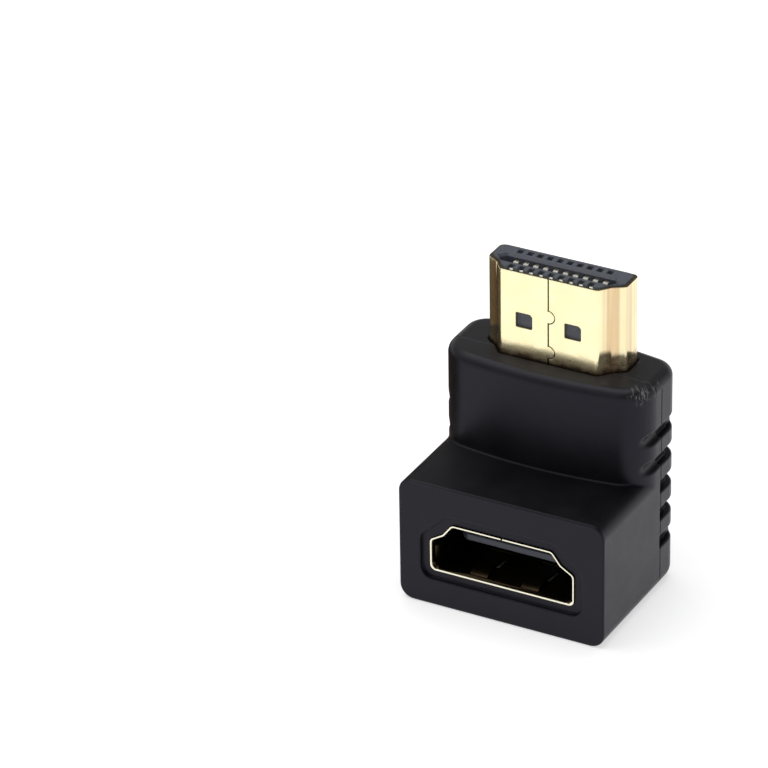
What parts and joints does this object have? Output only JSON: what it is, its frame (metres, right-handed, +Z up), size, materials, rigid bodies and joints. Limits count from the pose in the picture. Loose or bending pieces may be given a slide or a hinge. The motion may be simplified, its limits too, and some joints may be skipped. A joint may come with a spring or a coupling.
{
  "type": "right angle video adapter",
  "caption": "Moulded L-shaped audio and video adapter with a gold-plated plug standing up from the slab and a gold-rimmed port in the front of the block.",
  "frame": {"origin": "middle of the underside of the body's bounding box, on the surface that it stands on", "axes": "+Z up, out of the plug's mouth; -Y forward, out of the port's mouth; +X to the right seen from the front"},
  "size_m": [0.0208, 0.0164, 0.031],
  "materials": {
    "body": "satin black soft plastic",
    "inner_moulding": "natural translucent plastic",
    "gold_shell": "polished pale gold plate on sheet steel",
    "contact": "gold-flashed bronze strip",
    "insulator": "satin blue-black plastic",
    "board": "green solder mask",
    "solder": "bright tin"
  },
  "bodies": {
    "root": {"outer_overmould": "body", "inner_moulding": "inner_moulding", "plug_shell": "gold_shell", "plug_insulator": "insulator", "plug_tail_holder": "insulator", "plug_solder": "solder", "link_board": "board", "port_shell": "gold_shell", "port_insulator": "insulator", "port_solder": "solder", "plug_contact_1": "contact", "plug_contact_2": "contact", "plug_contact_3": "contact", "plug_contact_4": "contact", "plug_contact_5": "contact", "plug_contact_6": "contact", "plug_contact_7": "contact", "plug_contact_8": "contact", "plug_contact_9": "contact", "plug_contact_10": "contact", "plug_contact_11": "contact", "plug_contact_12": "contact", "plug_contact_13": "contact", "plug_contact_14": "contact", "plug_contact_15": "contact", "plug_contact_16": "contact", "plug_contact_17": "contact", "plug_contact_18": "contact", "plug_contact_19": "contact", "port_contact_1": "contact", "port_contact_2": "contact", "port_contact_3": "contact", "port_contact_4": "contact", "port_contact_5": "contact", "port_contact_6": "contact", "port_contact_7": "contact", "port_contact_8": "contact", "port_contact_9": "contact", "port_contact_10": "contact", "port_contact_11": "contact", "port_contact_12": "contact", "port_contact_13": "contact", "port_contact_14": "contact", "port_contact_15": "contact", "port_contact_16": "contact", "port_contact_17": "contact", "port_contact_18": "contact", "port_contact_19": "contact"}
  },
  "joints": []
}
